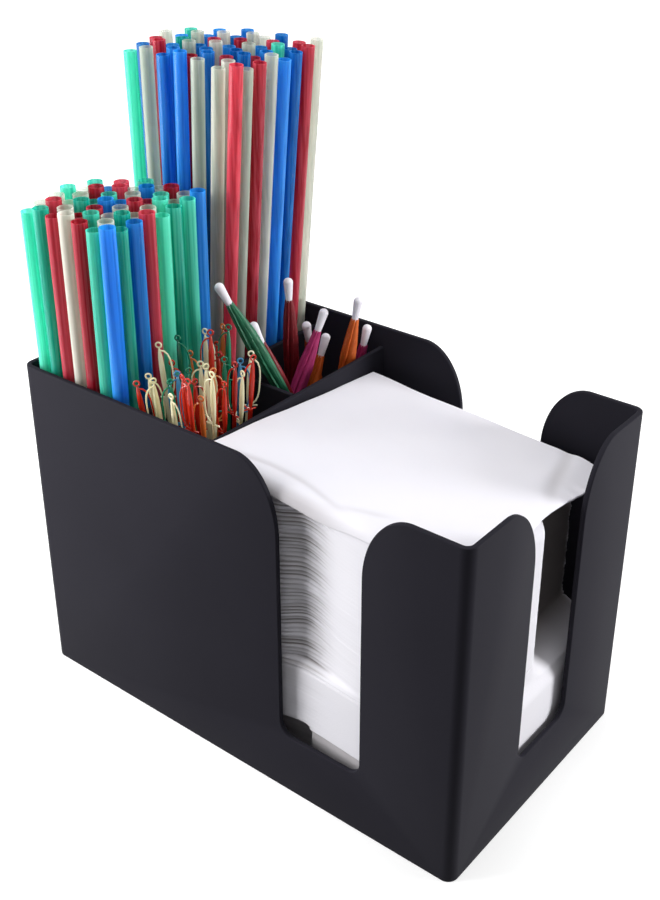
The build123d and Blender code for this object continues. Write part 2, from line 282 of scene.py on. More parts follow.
def charcoal_abs(name, base, worn):
    """Moulded ABS with a fine eroded texture: matt, with a soft sheen and no mirror."""
    material, tree, out = new_material(name)
    place = node(tree, "ShaderNodeTexCoord")
    # The real texture is about 0.1 mm, too fine to show, so it is drawn at 0.5 mm.
    grain = node(tree, "ShaderNodeTexNoise",
                 {"Vector": place.outputs["Object"], "Scale": 2000.0, "Detail": 2.0})
    cloud = node(tree, "ShaderNodeTexNoise",
                 {"Vector": place.outputs["Object"], "Scale": 14.0, "Detail": 3.0})
    tint = node(tree, "ShaderNodeMix", {0: cloud.outputs["Fac"], 6: linear(base), 7: linear(worn)},
                data_type="RGBA")
    rough = node(tree, "ShaderNodeMapRange", {"Value": grain.outputs["Fac"], 3: 0.42, 4: 0.52})
    bump = node(tree, "ShaderNodeBump",
                {"Height": grain.outputs["Fac"], "Strength": 0.12, "Distance": 0.0001})
    skin = node(tree, "ShaderNodeBsdfPrincipled", {
        "Base Color": tint.outputs[2], "Roughness": rough.outputs[0], "Normal": bump.outputs[0],
        "IOR": 1.5, "Specular IOR Level": 0.02})
    tree.links.new(skin.outputs[0], out.inputs["Surface"])
    return material


tub_plastic = charcoal_abs("moulded_charcoal_abs", "#232228", "#29282f")
tub.data.materials.clear()
tub.data.materials.append(tub_plastic)
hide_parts("caddy_shell")
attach(tub, "caddy")


# ---------------------------------------------------------------------------
# The partitions: four flat walls of the same moulding, 2.4 mm thick, standing on
# the floor and stopping 10 mm below the rim, with rounded top edges.

# The inside of the tub from its middle, and where each partition's two faces stand.
INNER_X, INNER_Y = 0.1181, 0.0656
NAPKIN_WALL_LEFT, NAPKIN_WALL_RIGHT = -0.0179, -0.0155
CROSS_LEFT, CROSS_RIGHT = -0.0594, -0.0570
DIVIDER_SIDE = 0.0012
PARTITION_DROP, PARTITION_ROUND = 0.010, 0.0007

for name, low, high in (
    ("napkin_wall", (NAPKIN_WALL_LEFT, -INNER_Y), (NAPKIN_WALL_RIGHT, INNER_Y)),
    ("long_divider", (-INNER_X, -DIVIDER_SIDE), (NAPKIN_WALL_LEFT, DIVIDER_SIDE)),
    ("cross_divider_front", (CROSS_LEFT, -INNER_Y), (CROSS_RIGHT, -DIVIDER_SIDE)),
    ("cross_divider_back", (CROSS_LEFT, DIVIDER_SIDE), (CROSS_RIGHT, INNER_Y)),
):
    bottom, top = WALL, HEIGHT - PARTITION_DROP
    bpy.ops.object.select_all(action="DESELECT")
    bpy.ops.mesh.primitive_cube_add(
        size=1, location=((low[0] + high[0]) / 2, (low[1] + high[1]) / 2, (bottom + top) / 2),
        scale=(high[0] - low[0], high[1] - low[1], top - bottom))
    wall = fresh(name + "_panel")
    run = 0 if high[0] - low[0] > high[1] - low[1] else 1
    bpy.ops.object.mode_set(mode="EDIT")
    pick_edges(wall, lambda e: along(e, run) and e.verts[0].co.z > top - 0.001)
    bpy.ops.mesh.bevel(offset=PARTITION_ROUND, segments=4, affect="EDGES")
    bpy.ops.object.mode_set(mode="OBJECT")
    bpy.ops.object.shade_smooth_by_angle(angle=math.radians(35))
    wall.data.materials.append(tub_plastic)
    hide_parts(name)
    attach(wall, "caddy")


# ---------------------------------------------------------------------------
# The two napkin packets: one-ply tissue folded in quarters and pressed. The folds
# come to the front as fine wavy lines, the pile falls to the right and to the
# back, and the ends of the upper packet are set back toward the rear.

STACK_LOW = (-0.0146, -0.0640)
STACK_HIGH = (0.1130, 0.0560)
STACK_MIDDLE = ((STACK_LOW[0] + STACK_HIGH[0]) / 2, (STACK_LOW[1] + STACK_HIGH[1]) / 2)
NAPKIN_LONG, NAPKIN_DEEP = 0.1276, 0.120
NAPKIN_CORNER = 0.003
STACK_TOP = 0.155
FALL_RIGHT, FALL_BACK = 0.008, 0.012
# All the stock stands just clear of the floor. The packets meet at the fold.
STOCK_FOOT = 0.0027
FOLD = 0.0652
PACKET_GAP = 0.0002
# Above this height the packets' front shows through the hand slot.
SILL_LINE = (0.0325, 0.0345)
# Each napkin is four rings of points, and its lowest one is the crease under it. For
# each ring: its height within the napkin, how far it is set in, and how dark its painted shade is.
RING_HEIGHT = (0.0, 0.22, 0.5, 0.8)
RING_INSET = (0.0008, 0.0002, 0.0, 0.0003)
RING_SHADE = (1.0, 0.5, 0.15, 0.45)
RINGS = 4
# The drum that a packet is pressed from, and the flat margin round its top and bottom.
DRUM_RADIUS, DRUM_MARGIN = 0.05, 0.006


def packet_top(x, y):
    """The height of the sloping top of the pile."""
    return (STACK_TOP - FALL_RIGHT * (x - STACK_LOW[0]) / NAPKIN_LONG
            - FALL_BACK * (y - STACK_LOW[1]) / NAPKIN_DEEP)


def drift(x, y, z):
    """A steady run of soft noise at a place, from -1 to 1."""
    return noise.noise(Vector((x, y, z)))


def paper_outline(radius, side_steps, corner_steps):
    """Points round a folded napkin, each with its way out, from the middle of the right side."""
    points = []
    corners = ((STACK_HIGH[0], STACK_HIGH[1], 0), (STACK_LOW[0], STACK_HIGH[1], 90),
               (STACK_LOW[0], STACK_LOW[1], 180), (STACK_HIGH[0], STACK_LOW[1], 270))
    centres = []
    for x, y, turn in corners:
        a = math.radians(turn + 45)
        centres.append((x - math.copysign(radius, math.cos(a)),
                        y - math.copysign(radius, math.sin(a)), turn))
    for index, (x, y, turn) in enumerate(centres):
        for step in range(corner_steps + 1):
            a = math.radians(turn + 90 * step / corner_steps)
            out = (math.cos(a), math.sin(a))
            points.append((x + radius * out[0], y + radius * out[1], *out))
        next_x, next_y, _ = centres[(index + 1) % 4]
        a = math.radians(turn + 90)
        out = (math.cos(a), math.sin(a))
        start = Vector((x + radius * out[0], y + radius * out[1]))
        end = Vector((next_x + radius * out[0], next_y + radius * out[1]))
        for step in range(1, side_steps):
            spot = start.lerp(end, step / side_steps)
            points.append((spot.x, spot.y, *out))
    return points


# The crepe of the tissue is about 0.7 mm from crest to crest.
CREPE_SCALE = 1400.0


def tissue(name, white, cool, painted_shade):
    """Soft tissue paper: matt, a little see-through, with a fine crepe and a painted shade in gaps and
    shadowed places.
    """
    material, tree, out = new_material(name)
    place = node(tree, "ShaderNodeTexCoord")
    dark = node(tree, "ShaderNodeAttribute", attribute_name="painted_shade")
    crepe = node(tree, "ShaderNodeTexNoise",
                 {"Vector": place.outputs["Object"], "Scale": CREPE_SCALE, "Detail": 4.0})
    cloud = node(tree, "ShaderNodeTexNoise",
                 {"Vector": place.outputs["Object"], "Scale": 22.0, "Detail": 2.0})
    shade = node(tree, "ShaderNodeMix", {0: cloud.outputs["Fac"], 6: linear(white), 7: linear(cool)},
                 data_type="RGBA")
    # Painted shade: the mesh's attribute mixes in a brownish dark where gaps and recesses would lie in
    # shadow.
    shade = node(tree, "ShaderNodeMix",
                 {0: dark.outputs["Fac"], 6: shade.outputs[2], 7: linear(painted_shade)}, data_type="RGBA")
    bump = node(tree, "ShaderNodeBump",
                {"Height": crepe.outputs["Fac"], "Strength": 0.25, "Distance": 0.0003})
    skin = node(tree, "ShaderNodeBsdfPrincipled", {
        "Base Color": shade.outputs[2], "Roughness": 0.9, "Normal": bump.outputs[0],
        "Specular IOR Level": 0.2, "Sheen Weight": 0.1})
    through = node(tree, "ShaderNodeBsdfTranslucent", {"Color": shade.outputs[2]})
    mix = node(tree, "ShaderNodeMixShader", {0: 0.12, 1: skin.outputs[0], 2: through.outputs[0]})
    tree.links.new(mix.outputs[0], out.inputs["Surface"])
    return material


# The last colour is the painted shade of the gaps and shadowed places.
paper = tissue("creped_tissue_paper", "#f6f4f9", "#ecebf3", "#7d726c")


def ease(value, start, end):
    """A smooth step from 0 at start to 1 at end."""
    share = min(1.0, max(0.0, (value - start) / (end - start)))
    return share * share * (3 - 2 * share)


def roll(distance, radius):
    """How far a soft rounded edge has fallen away at a distance from the edge."""
    if distance >= radius:
        return 0.0
    return radius - math.sqrt(max(0.0, radius ** 2 - (radius - distance) ** 2))


# The hollow that hands have pushed into the front, from left to right: where it starts,
# is deepest and ends. It is deeper in the upper packet, whose folds it lifts.
HOLLOW_START, HOLLOW_DEEPEST, HOLLOW_END = 0.022, 0.038, 0.080
LOWER_HOLLOW, UPPER_HOLLOW_MORE, FOLD_LIFT = 0.0022, 0.0036, 0.0022
# The lowest napkins stop short at the left, and all of them are set in behind the sill.
NOTCH, NOTCH_TOP, NOTCH_SIDE = 0.0060, (0.0345, 0.0365), (0.0400, 0.0412)
BEHIND_SILL = 0.0015
END_HOLLOW, END_BULGE = 0.0170, 0.0028


def front_hollow(x, z):
    """How far the front folds are pushed in: a hollow at the left of the hand slot."""
    deep = LOWER_HOLLOW + UPPER_HOLLOW_MORE * ease(z, FOLD + 0.0003, FOLD + 0.005)
    hollow = deep * ease(x, HOLLOW_START, HOLLOW_DEEPEST) * (1 - ease(x, HOLLOW_DEEPEST, HOLLOW_END))
    notch = NOTCH * (1 - ease(z, *NOTCH_TOP)) * (1 - ease(x, *NOTCH_SIDE))
    return hollow + notch + BEHIND_SILL * (1 - ease(z, *SILL_LINE))


def front_lift(x, z, under_top):
    """How far the upper napkins' front folds are pushed up in the hollow."""
    across = ease(x, HOLLOW_START, HOLLOW_DEEPEST) * (1 - ease(x, HOLLOW_DEEPEST, 0.060))
    return FOLD_LIFT * across * ease(z, FOLD + 0.002, FOLD + 0.020) * ease(under_top, 0.0, 0.012)


def end_hollow(y, z):
    """How far the right ends of the upper napkins are set back, more toward the back."""
    return END_HOLLOW * ease(y, -0.001, 0.022) * ease(z, FOLD - 0.010, FOLD + 0.002)


def end_bulge(out_x, z):
    """How far the lower packet's right end bulges out."""
    rise = ease(z, 0.004, 0.016) * (1 - ease(z, FOLD - 0.016, FOLD - 0.006))
    return END_BULGE * max(0.0, out_x) * rise


def shadow(y, z, out_x, out_y):
    """Painted shadow on a packet: on its set-back end, and in a band behind the slot's sill."""
    end = 0.85 * max(0.0, out_x) * ease(y, -0.002, 0.020) * ease(z, FOLD - 0.008, FOLD + 0.002)
    band = 0.5 * max(0.0, -out_y) * (1 - ease(z, *SILL_LINE)) * ease(z, 0.012, 0.022)
    return end, band


def pile_blank(name, points, layers):
    """A drum one unit tall, with its rings of points and a margin ring in both ends."""
    bpy.ops.object.select_all(action="DESELECT")
    bpy.ops.mesh.primitive_cylinder_add(vertices=points, radius=DRUM_RADIUS, depth=1,
                                        end_fill_type="TRIFAN", location=(0, 0, 0.5))
    pile = fresh(name)
    bpy.ops.object.mode_set(mode="EDIT")
    pick_faces(pile, lambda f: abs(f.normal.z) > 0.5)
    bpy.ops.mesh.inset(thickness=DRUM_MARGIN)
    # One subdivision makes 100 cuts at most, so it is done in two goes.
    pick_edges(pile, lambda e: along(e, 2))
    bpy.ops.mesh.subdivide(number_cuts=1)
    pick_edges(pile, lambda e: along(e, 2))
    bpy.ops.mesh.subdivide(number_cuts=RINGS * layers // 2 - 1)
    bpy.ops.object.mode_set(mode="OBJECT")
    return pile


def napkin_pile(name, low_z, height_at, layers, line, rounded, seed):
    """A pressed packet. line is how plainly its folds show, in relief and in painted shade, rounded
    how soft its top edge is.
    """
    outline = paper_outline(NAPKIN_CORNER, 60, 6)
    pile = pile_blank(name, len(outline), layers)
    painted_shade = pile.data.attributes.new("painted_shade", "FLOAT", "POINT")
    edges = [0.0]
    for layer in range(layers):
        edges.append(edges[-1] + 1 + 0.45 * drift(layer * 0.77, seed, 0.4))
    for index, vertex in enumerate(pile.data.vertices):
        level = round(vertex.co.z * RINGS * layers)
        layer, ring = divmod(level, RINGS)
        from_middle = math.hypot(vertex.co.x, vertex.co.y)
        if from_middle < 0.001:
            x, y = STACK_MIDDLE
            vertex.co = (x, y, low_z + (height_at(x, y) - low_z) * level / (RINGS * layers))
            continue
        margin = DRUM_MARGIN if from_middle < DRUM_RADIUS - DRUM_MARGIN / 2 else 0.0
        turn = math.atan2(vertex.co.y, vertex.co.x) / math.tau
        x, y, out_x, out_y = outline[round(turn * len(outline)) % len(outline)]
        front = max(0.0, -out_y)

        next_edge = edges[min(layer + 1, layers)]
        share = (edges[layer] + (next_edge - edges[layer]) * RING_HEIGHT[ring]) / edges[-1]
        sag = drift(x * 30, y * 30, seed + layer * 0.08) * 0.0012
        sag *= math.sin(math.pi * level / (RINGS * layers))
        z = low_z + (height_at(x, y) - low_z) * share + sag

        # The folds lie quiet at the right of the front and at the right end.
        calm = front * ease(x, 0.038, 0.054) + max(0.0, out_x)
        loose = 0.2 + 0.8 * line
        slip = drift(seed, layer * 0.9, 3.7) * 0.0005 * (1 - 0.85 * calm) * loose
        slide = drift(layer * 0.8, seed, 1.3) * 0.0005 * (1 - 0.85 * calm) * loose
        wave = drift(x * 42, y * 42, layer * 0.45 + seed) * 0.0007 * (0.3 + 0.7 * line)
        wave *= 1 - 0.9 * calm
        fine = line * (1 - 0.97 * calm)
        inset = 0.0003 + slip * out_x - slide * out_y + wave + fine * RING_INSET[ring]
        inset += front_hollow(x, z) * front
        z += front_lift(x, z, height_at(x, y) - z) * front * line

        moved_x = min(x - out_x * inset, STACK_HIGH[0] - end_hollow(y, z) - wave)
        moved_x += end_bulge(out_x, z)
        moved_y = y - out_y * inset
        shrink = roll(height_at(x, y) - z, rounded) + margin
        moved_x += (STACK_MIDDLE[0] - moved_x) * shrink / (NAPKIN_LONG / 2)
        moved_y += (STACK_MIDDLE[1] - moved_y) * shrink / (NAPKIN_DEEP / 2)
        z += (height_at(moved_x, moved_y) - height_at(x, y)) * share
        vertex.co = (moved_x, moved_y, z)

        # Painted shade: each ring is darkened by its share of the gap under a napkin, and shadow adds
        # painted shadow on the set-back end and behind the sill.
        fade = 0.55 + 1.1 * drift(x * 45, y * 45, layer * 1.73)
        end, band = shadow(y, z, out_x, out_y)
        dark = fine * RING_SHADE[ring] * fade + end + band
        painted_shade.data[index].value = 0.0 if margin else min(1.0, max(0.0, dark))
    bpy.ops.object.shade_smooth_by_angle(angle=math.radians(60))
    pile.data.materials.append(paper)
    return pile


lower = napkin_pile("lower_napkin_packet", STOCK_FOOT, lambda x, y: FOLD,
                    layers=28, line=0.05, rounded=0.0008, seed=11.0)
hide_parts("napkin_packet_lower")
upper = napkin_pile("upper_napkin_packet", FOLD + PACKET_GAP,
                    lambda x, y: packet_top(x, y) - PACKET_GAP,
                    layers=44, line=1.0, rounded=0.010, seed=4.0)
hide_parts("napkin_packet_upper")
for pile in (lower, upper):
    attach(pile, "napkin_stack")


# ---------------------------------------------------------------------------
# The loose napkin on top: one folded tissue that lies on the pile by its weight,
# rolls over its front edge and the near part of its right edge, and droops at its
# back right corner, where the ends under it are set back.

SHEET_HEIGHT, SHEET_THICK, SHEET_ROUND = 0.0016, 0.0012, 0.0005
FRONT_ROLL, RIGHT_ROLL = 0.0080, 0.0060

bpy.ops.object.select_all(action="DESELECT")
bpy.ops.mesh.primitive_grid_add(x_subdivisions=128, y_subdivisions=120, size=1,
                                location=(*STACK_MIDDLE, 0))
bpy.ops.transform.resize(value=(NAPKIN_LONG, NAPKIN_DEEP, 1))
top_sheet = fresh("top_napkin_sheet")
painted_shade = top_sheet.data.attributes.new("painted_shade", "FLOAT", "POINT")
for index, vertex in enumerate(top_sheet.data.vertices):
    x, y = vertex.co.x, vertex.co.y
    from_right = STACK_HIGH[0] - x
    from_front = y - STACK_LOW[1]
    swell = drift(x * 18, y * 18, 2.0) * 0.0009 + drift(x * 55, y * 55, 7.0) * 0.0003
    drop = roll(from_front, FRONT_ROLL) * (0.8 + 0.3 * drift(x * 30, 0, 4.0))
    drop += roll(from_right, RIGHT_ROLL) * 0.8 * (1 - ease(y, -0.020, 0.006))
    droop = 0.0026 * ease(x, 0.095, 0.113) * ease(y, 0.006, 0.040)
    frill = 0.0009 * drift(y * 160, 3.0, 5.0) * ease(x, 0.104, 0.113) * ease(y, 0.010, 0.030)
    edge = 0.0016 * drift(x * 34, y * 34, 12.0)
    inward = Vector((x - STACK_MIDDLE[0], y - STACK_MIDDLE[1])) * (edge / (NAPKIN_DEEP / 2))
    # A ripple follows the front edge, a smear lies at its right, and a soft flap crosses
    # the drooping corner. Each is a low ridge with a slight painted shade.
    ripple_line = STACK_LOW[1] + 0.0085 + 0.0035 * math.sin(x * 75)
    ripple = math.exp(-((y - ripple_line) / 0.0016) ** 2) * (1 - ease(x, 0.040, 0.066))
    smear = math.exp(-((y + 0.0560 - 0.45 * (x - 0.0568)) / 0.0022) ** 2)
    smear *= ease(x, 0.046, 0.062) * (1 - ease(x, 0.066, 0.078))
    flap = math.exp(-((x + 0.35 * y - 0.1115) / 0.0030) ** 2) * ease(y, 0.004, 0.024)
    swell -= 0.0004 * ripple + 0.0003 * smear + 0.0005 * flap
    # Painted shade under the rolled front edge, fading out toward the right.
    shade = 0.42 * (1 - ease(from_front, 0.0005, 0.0055)) * (1 - 0.8 * ease(x, 0.036, 0.066))
    painted_shade.data[index].value = min(1.0, shade + 0.22 * ripple + 0.13 * smear + 0.20 * flap)
    vertex.co = (x - inward.x, y - inward.y,
                 packet_top(x, y) + SHEET_HEIGHT + swell + frill - drop - droop)
finish_with(top_sheet, "SOLIDIFY", thickness=SHEET_THICK, offset=-1.0)
finish_with(top_sheet, "BEVEL", width=SHEET_ROUND, segments=3, limit_method="ANGLE",
            angle_limit=math.radians(60))
bpy.ops.object.shade_smooth_by_angle(angle=math.radians(50))
top_sheet.data.materials.append(paper)
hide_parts("napkin_top")
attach(top_sheet, "top_napkin")


# ---------------------------------------------------------------------------
# The drinking straws: thin extruded polypropylene tubes, cut square, in four
# colours. Each pocket holds about fifty, which stand on its floor and open like
# a fan, with their tops not quite level.

STRAW_WALL = 0.0003
STRAW_UNEVEN = 0.0024
STRAW_STAGGER = 0.0005
STRAW_MIDDLE, ROW_MIDDLE = -0.08875, 0.0334
# The colours from the front row to the back one, with a point where no straw stands.
SHORT_ROWS = ["ggrcrgb", "crcrgcg", "ccgrcgb", "gcgbccr",
              "crgbrcg", "gbrcrgg", ".rcbgcg", "..gcrcb"]
TALL_ROWS = ["gcbbccr", "brbrbcc", "rbcbrbr", "cgbcbrc",
             "bcrbcbb", "gbcrbgb", ".bbcrbr", "..bcbrc"]
GOLDEN_PART = 0.6180339887


def uneven(count):
    """A steady run of values from -1 to 1 with no pattern to the eye."""
    return 2 * ((count * GOLDEN_PART) % 1.0) - 1


def own_shade(count):
    """The shade of one piece among its like, from 0 to 1."""
    return 0.5 + 0.5 * uneven(count * 7 + 3)


def standing(foot, top, turn=0.0):
    """The place of a piece that stands on its foot and points at its top."""
    up = (top - foot).normalized()
    side = Vector((math.cos(turn), math.sin(turn), 0))
    across = up.cross(side).normalized()
    axes = Matrix((across.cross(up), across, up)).transposed().to_4x4()
    return Matrix.Translation(foot) @ axes


def copy_at(model, place, shade):
    """A copy of a modelled piece with its own mesh, its place in the mesh and a shade."""
    made = bpy.data.objects.new(model.name + "_copy", model.data.copy())
    made.data.transform(place)
    scene.collection.objects.link(made)
    tone = made.data.attributes.new("shade", "FLOAT", "POINT")
    tone.data.foreach_set("value", [shade] * len(made.data.vertices))
    return made


def join_as(name, pieces, material, replaced, body):
    """Joins the copies of one colour, gives them their material and body, and hides the CAD part that
    they stand in for.
    """
    bpy.ops.object.select_all(action="DESELECT")
    for piece in pieces:
        piece.select_set(True)
    bpy.context.view_layer.objects.active = pieces[0]
    bpy.ops.object.join()
    whole = bpy.context.object
    whole.name = name
    whole.data.name = name
    whole.data.materials.clear()
    whole.data.materials.append(material)
    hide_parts(replaced)
    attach(whole, body)


def straw_plastic(name, deep, bright, tint, clear):
    """Extruded translucent polypropylene with faint die lines along the straw."""
    material, tree, out = new_material(name)
    place = node(tree, "ShaderNodeTexCoord")
    stretch = node(tree, "ShaderNodeMapping",
                   {"Vector": place.outputs["Object"], "Scale": (1.0, 1.0, 0.02)})
    lines = node(tree, "ShaderNodeTexNoise",
                 {"Vector": stretch.outputs[0], "Scale": 700.0, "Detail": 2.0})
    spread = node(tree, "ShaderNodeMapRange", {"Value": lines.outputs["Fac"], 1: 0.32, 2: 0.68})
    tone = node(tree, "ShaderNodeAttribute", attribute_name="shade")
    both = node(tree, "ShaderNodeMath", {0: tone.outputs["Fac"], 1: spread.outputs[0]},
                operation="ADD")
    share = node(tree, "ShaderNodeMapRange", {"Value": both.outputs[0], 1: 0.35, 2: 1.65})
    colour = node(tree, "ShaderNodeMix", {0: share.outputs[0], 6: linear(deep), 7: linear(bright)},
                  data_type="RGBA")
    skin = node(tree, "ShaderNodeBsdfPrincipled", {
        "Base Color": colour.outputs[2], "Roughness": 0.22, "IOR": 1.49,
        "Specular IOR Level": 0.5})
    through = node(tree, "ShaderNodeBsdfTranslucent", {"Color": colour.outputs[2]})
    body = node(tree, "ShaderNodeMixShader", {0: 0.55, 1: skin.outputs[0], 2: through.outputs[0]})
    glass = node(tree, "ShaderNodeBsdfTransparent", {"Color": linear(tint)})
    # The wall is thin where it is seen square on and thick toward the straw's sides.
    slant = node(tree, "ShaderNodeLayerWeight", {"Blend": 0.5})
    solid = node(tree, "ShaderNodeMapRange",
                 {"Value": slant.outputs["Facing"], 1: 0.1, 2: 0.9, 3: clear, 4: 0.0})
    mix = node(tree, "ShaderNodeMixShader",
               {0: solid.outputs[0], 1: body.outputs[0], 2: glass.outputs[0]})
    tree.links.new(mix.outputs[0], out.inputs["Surface"])
    return material


STRAW_COLOURS = {
    "g": ("green", straw_plastic("extruded_green_polypropylene",
                                 "#12b8a8", "#96ffec", "#c4fff6", 0.44)),
    "b": ("blue", straw_plastic("extruded_blue_polypropylene",
                                "#0080c8", "#54c4ff", "#b4e4ff", 0.36)),
    "r": ("red", straw_plastic("extruded_red_polypropylene",
                               "#b82038", "#f67a90", "#fcc4ce", 0.36)),
    "c": ("clear", straw_plastic("extruded_natural_polypropylene",
                                 "#c9d4c9", "#f7f6f0", "#f9faf6", 0.60)),
}


def straw_pocket(kind, rows, diameter, length, middle_y, foot_pitch, top_pitch,
                 foot_shift, top_shift, stray):
    """Models one straw, stands a copy in every place and joins each colour."""
    bpy.ops.object.select_all(action="DESELECT")
    bpy.ops.mesh.primitive_cylinder_add(vertices=24, radius=diameter / 2, depth=length,
                                        end_fill_type="NOTHING", location=(0, 0, length / 2))
    straw = fresh(kind + "_straw")
    finish_with(straw, "SOLIDIFY", thickness=STRAW_WALL, offset=-1.0)
    bpy.ops.object.shade_smooth_by_angle(angle=math.radians(40))
    copies = {}
    columns = len(rows[0])
    for row, letters in enumerate(rows):
        for column, letter in enumerate(letters):
            if letter == ".":
                continue
            count = column + row * columns
            across = column - (columns - 1) / 2
            deep = row - (len(rows) - 1) / 2
            stagger = STRAW_STAGGER * (-1) ** row
            foot = Vector((STRAW_MIDDLE + across * foot_pitch[0] + foot_shift + stagger,
                           middle_y + deep * foot_pitch[1], 0))
            top = Vector((STRAW_MIDDLE + across * top_pitch[0] + top_shift + stagger,
                          middle_y + deep * top_pitch[1], 0))
            top += Vector((uneven(count * 3 + 1), uneven(count * 5 + 2), 0)) * stray
            cut = length + STRAW_UNEVEN * uneven(count)
            tilt = math.asin((top - foot).length / cut)
            foot.z = STOCK_FOOT + diameter / 2 * math.sin(tilt)
            top.z = foot.z + cut * math.cos(tilt)
            place = standing(foot, top) @ Matrix.Diagonal((1, 1, cut / length, 1))
            copies.setdefault(letter, []).append(copy_at(straw, place, own_shade(count)))
    for letter, pieces in copies.items():
        colour, plastic = STRAW_COLOURS[letter]
        join_as(f"{kind}_straws_in_{colour}", pieces, plastic, f"{kind}_straws_{colour}",
                f"{kind}_straws")
    bpy.data.objects.remove(straw)


straw_pocket("short", SHORT_ROWS, diameter=0.007, length=0.236, middle_y=-ROW_MIDDLE,
             foot_pitch=(0.0075, 0.0075), top_pitch=(0.0081, 0.007786),
             foot_shift=0, top_shift=0, stray=0.0004)
straw_pocket("tall", TALL_ROWS, diameter=0.006, length=0.292, middle_y=ROW_MIDDLE,
             foot_pitch=(0.00625, 0.0071), top_pitch=(0.010417, 0.007957),
             foot_shift=-0.0064, top_shift=0.0056, stray=0.0008)


# ---------------------------------------------------------------------------
# The sword picks: injection-moulded polystyrene, thin and a little see-through,
# each with a ring, a spindle grip, a bowed knuckle guard and a long blade. They
# stand points together, so their rings spread over the mouth of the pocket.

PICK_LENGTH = 0.173
# From the top of the ring down: the ring's middle, the grip and the blade with its guard.
RING_DOWN, RING_REACH, RING_WIRE = 0.0018, 0.0012, 0.00040
GRIP_DOWN, GRIP_LENGTH = 0.0038, 0.023
POINT_RADIUS, BLADE_RADIUS, BLADE_FLAT = 0.00035, 0.0012, 0.65
BAR_LENGTH, BAR_RADIUS, BAR_ROUND = 0.007, 0.0004, 0.0002
BOW_REACH, BOW_TALL, BOW_WIRE = 0.0046, 0.0110, 0.00038
PICK_MIDDLE = -0.03745
# The spaces between the picks at their points and at their rings.
FOOT_PITCH, TOP_PITCH = (0.0037, 0.00205), (0.0103, 0.0068)
# Their highest rise off the floor, and how far their rings stray.
PICK_LIFTED, RING_STRAY = 0.013, 0.0014
PICK_ROWS = ["rycr", "ygro", "cbry", "rgyr", "gyor", "orgy", "yrbr", "rgy.", "o..."]


def modelled_pick():
    """One pick with its point on the origin and its knuckle guard toward +X."""
    grip_foot = PICK_LENGTH - GRIP_DOWN - GRIP_LENGTH
    grip_middle = grip_foot + GRIP_LENGTH / 2
    parts = []
    bpy.ops.object.select_all(action="DESELECT")
    bpy.ops.mesh.primitive_cone_add(vertices=10, radius1=POINT_RADIUS, radius2=BLADE_RADIUS,
                                    depth=grip_foot, location=(0, 0, grip_foot / 2),
                                    scale=(1, BLADE_FLAT, 1))
    parts.append(fresh("pick_blade"))
    bpy.ops.mesh.primitive_uv_sphere_add(segments=12, ring_count=10, radius=1,
                                         location=(0, 0, grip_middle),
                                         scale=(0.0013, 0.0011, 0.0125))
    parts.append(fresh("pick_grip"))
    bpy.ops.mesh.primitive_torus_add(major_segments=18, minor_segments=8,
                                     major_radius=RING_REACH, minor_radius=RING_WIRE,
                                     location=(0, 0, PICK_LENGTH - RING_DOWN),
                                     rotation=(math.pi / 2, 0, 0))
    parts.append(fresh("pick_ring"))
    bpy.ops.mesh.primitive_cylinder_add(vertices=10, radius=BAR_RADIUS, depth=BAR_LENGTH,
                                        location=(0.0007, 0, grip_foot),
                                        rotation=(0, math.pi / 2, 0))
    bar = fresh("pick_cross_guard")
    finish_with(bar, "BEVEL", width=BAR_ROUND, segments=2, limit_method="ANGLE",
                angle_limit=math.radians(50))
    parts.append(bar)
    # The knuckle guard is half of an oval ring of wire.
    bpy.ops.curve.primitive_bezier_circle_add(radius=1, location=(0, 0, 0),
                                              rotation=(math.pi / 2, 0, 0))
    bow = bpy.context.object
    bow.name = "pick_bow"
    bpy.ops.object.transform_apply(rotation=True)
    for point in bow.data.splines[0].bezier_points:
        for spot in (point.co, point.handle_left, point.handle_right):
            spot.x *= BOW_REACH
            spot.z = spot.z * BOW_TALL + grip_middle
    bow.data.resolution_u = 6
    bow.data.bevel_depth = BOW_WIRE
    bow.data.bevel_resolution = 1
    bpy.ops.object.convert(target="MESH")
    bpy.ops.object.mode_set(mode="EDIT")
    bpy.ops.mesh.select_all(action="SELECT")
    bpy.ops.mesh.bisect(plane_co=(0.0001, 0, 0), plane_no=(1, 0, 0), clear_inner=True,
                        use_fill=True)
    bpy.ops.object.mode_set(mode="OBJECT")
    parts.append(bow)
    bpy.ops.object.select_all(action="DESELECT")
    for part in parts:
        part.select_set(True)
    bpy.context.view_layer.objects.active = parts[0]
    bpy.ops.object.join()
    bpy.ops.object.shade_smooth_by_angle(angle=math.radians(50))
    return bpy.context.object


def pick_plastic(name, deep, bright):
    """Moulded polystyrene: glossy, with light coming through the thin parts."""
    material, tree, out = new_material(name)
    place = node(tree, "ShaderNodeTexCoord")
    flow = node(tree, "ShaderNodeMapping",
                {"Vector": place.outputs["Object"], "Scale": (1.0, 1.0, 0.15)})
    lines = node(tree, "ShaderNodeTexNoise",
                 {"Vector": flow.outputs[0], "Scale": 700.0, "Detail": 2.0})
    tone = node(tree, "ShaderNodeAttribute", attribute_name="shade")
    both = node(tree, "ShaderNodeMath", {0: tone.outputs["Fac"], 1: lines.outputs["Fac"]},
                operation="ADD")
    half = node(tree, "ShaderNodeMath", {0: both.outputs[0], 1: 0.5}, operation="MULTIPLY")
    colour = node(tree, "ShaderNodeMix", {0: half.outputs[0], 6: linear(deep), 7: linear(bright)},
                  data_type="RGBA")
    skin = node(tree, "ShaderNodeBsdfPrincipled", {
        "Base Color": colour.outputs[2], "Roughness": 0.16, "IOR": 1.59,
        "Specular IOR Level": 0.5})
    through = node(tree, "ShaderNodeBsdfTranslucent", {"Color": colour.outputs[2]})
    mix = node(tree, "ShaderNodeMixShader", {0: 0.35, 1: skin.outputs[0], 2: through.outputs[0]})
    tree.links.new(mix.outputs[0], out.inputs["Surface"])
    return material


